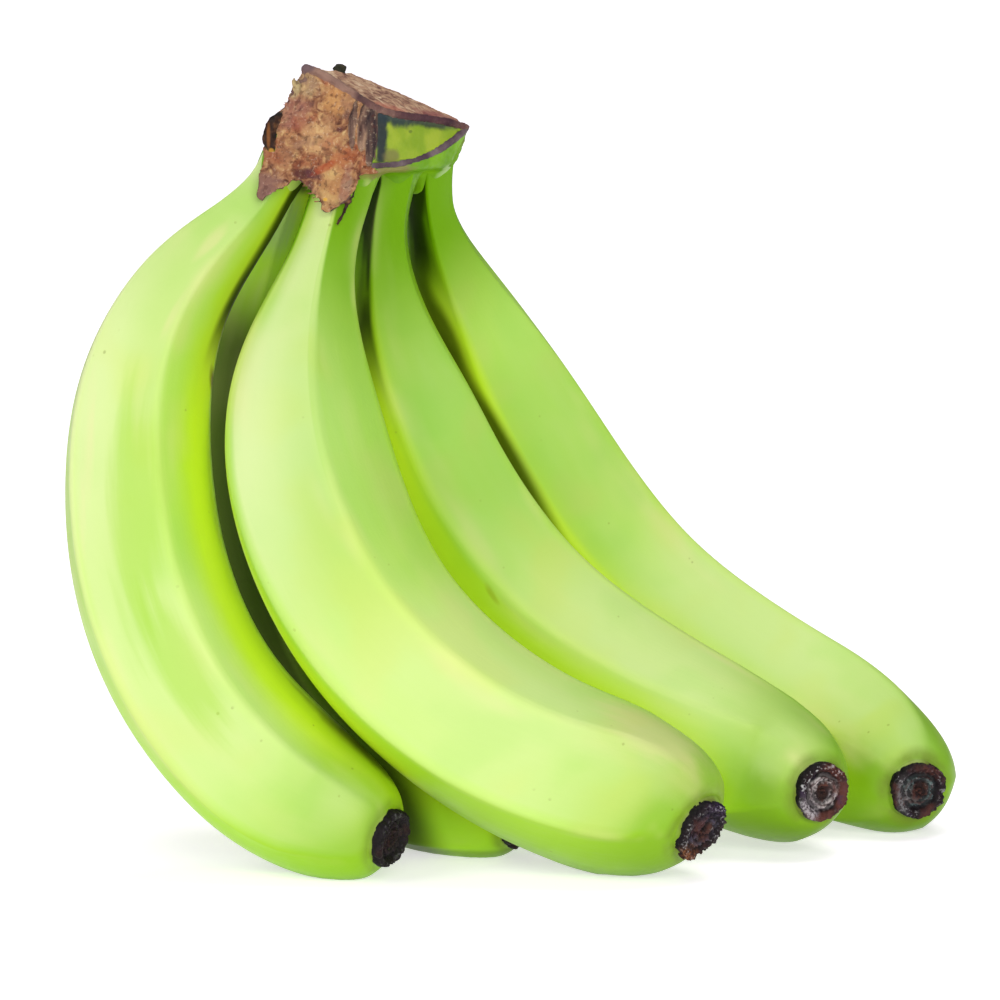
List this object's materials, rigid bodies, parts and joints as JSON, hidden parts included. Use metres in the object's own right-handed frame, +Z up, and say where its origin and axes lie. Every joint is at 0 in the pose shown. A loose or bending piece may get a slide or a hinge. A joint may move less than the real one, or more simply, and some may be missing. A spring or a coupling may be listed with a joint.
{
  "type": "hand of bananas",
  "caption": "Hand of unripe green bananas joined at a brown cut crown, standing crown up on the undersides of its curved fingers.",
  "frame": {"origin": "on the surface that the hand stands on, under the middle of its bounding box", "axes": "+Z up, from the surface to the crown; -Y is the side that the crown's main cut faces; +X is the way that most of the blossom ends point"},
  "size_m": [0.2079, 0.1177, 0.1842],
  "materials": {
    "peel": "unripe banana peel, smooth and waxy, satin, yellow-green with paler lit faces, brighter ridges and faint tan blush",
    "crown": "dried cut stalk, rough, fibrous and corky, brown with rust and grey patches",
    "blossom_end": "dried flower remnant, rough and near-black with grey flecks"
  },
  "bodies": {
    "root": {"crown": "crown", "banana_left": "peel", "banana_front": "peel", "banana_middle": "peel", "banana_right": "peel", "banana_rear": "peel"}
  },
  "joints": []
}
